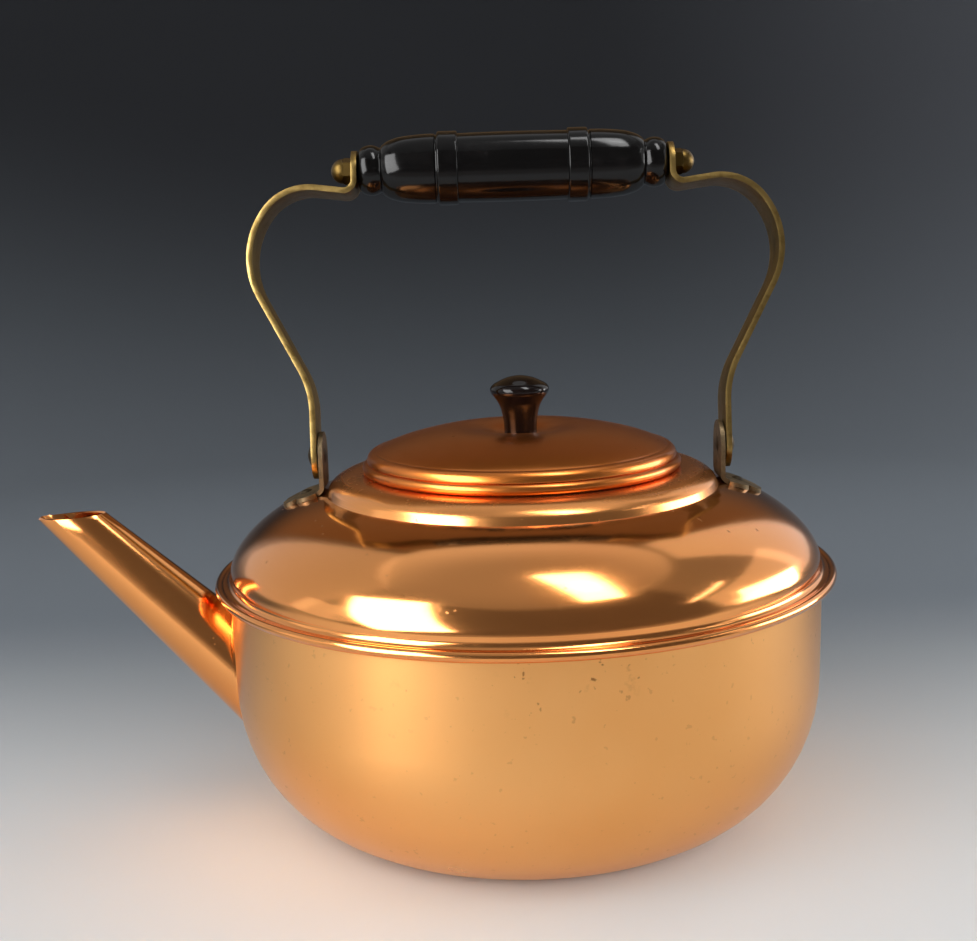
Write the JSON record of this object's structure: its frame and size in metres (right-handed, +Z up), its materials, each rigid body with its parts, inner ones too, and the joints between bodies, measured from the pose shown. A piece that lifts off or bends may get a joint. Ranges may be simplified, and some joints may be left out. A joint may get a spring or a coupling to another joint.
{
  "type": "kettle",
  "caption": "Round copper kettle with rolled waist seam, straight conical spout, lift-off domed lid with black knob, and a brass-strap bail handle with a turned black grip.",
  "frame": {"origin": "centre of the flat base's underside", "axes": "+Z up, -X towards the spout (front), +X to the rear lug; the bail turns about X"},
  "size_m": [0.2901, 0.2248, 0.2479],
  "materials": {
    "bowl_copper": "satin spun copper",
    "dome_copper": "polished copper",
    "lug_brass": "tarnished",
    "strap_brass": "antique",
    "black_lacquer": "gloss black lacquer on turned wood",
    "steel": "plain"
  },
  "bodies": {
    "kettle": {"bowl": "bowl_copper", "dome": "dome_copper", "seam_bead": "dome_copper", "spout": "bowl_copper", "spout_flange": "bowl_copper", "front_lug": "lug_brass", "rear_lug": "lug_brass", "front_lug_rivet": "lug_brass", "rear_lug_rivet": "lug_brass", "front_pivot_rivet": "lug_brass", "rear_pivot_rivet": "lug_brass"},
    "bail": {"front_strap": "strap_brass", "rear_strap": "strap_brass", "grip": "black_lacquer", "grip_rod": "steel", "front_acorn_nut": "strap_brass", "rear_acorn_nut": "strap_brass"},
    "lid": {"lid_shell": "dome_copper", "lid_skirt": "dome_copper", "lid_knob": "black_lacquer", "knob_washer": "steel", "knob_screw": "steel"}
  },
  "joints": [
    {"name": "bail_swing", "type": "hinge", "parent": "kettle", "child": "bail", "pos_m": [0, 0, 0.1333], "axis": [1, 0, 0], "range_deg": [-84, 102]},
    {"name": "lid_lift", "type": "slide", "parent": "kettle", "child": "lid", "axis": [0, 0, 1], "range_m": [0, 0.05]}
  ]
}
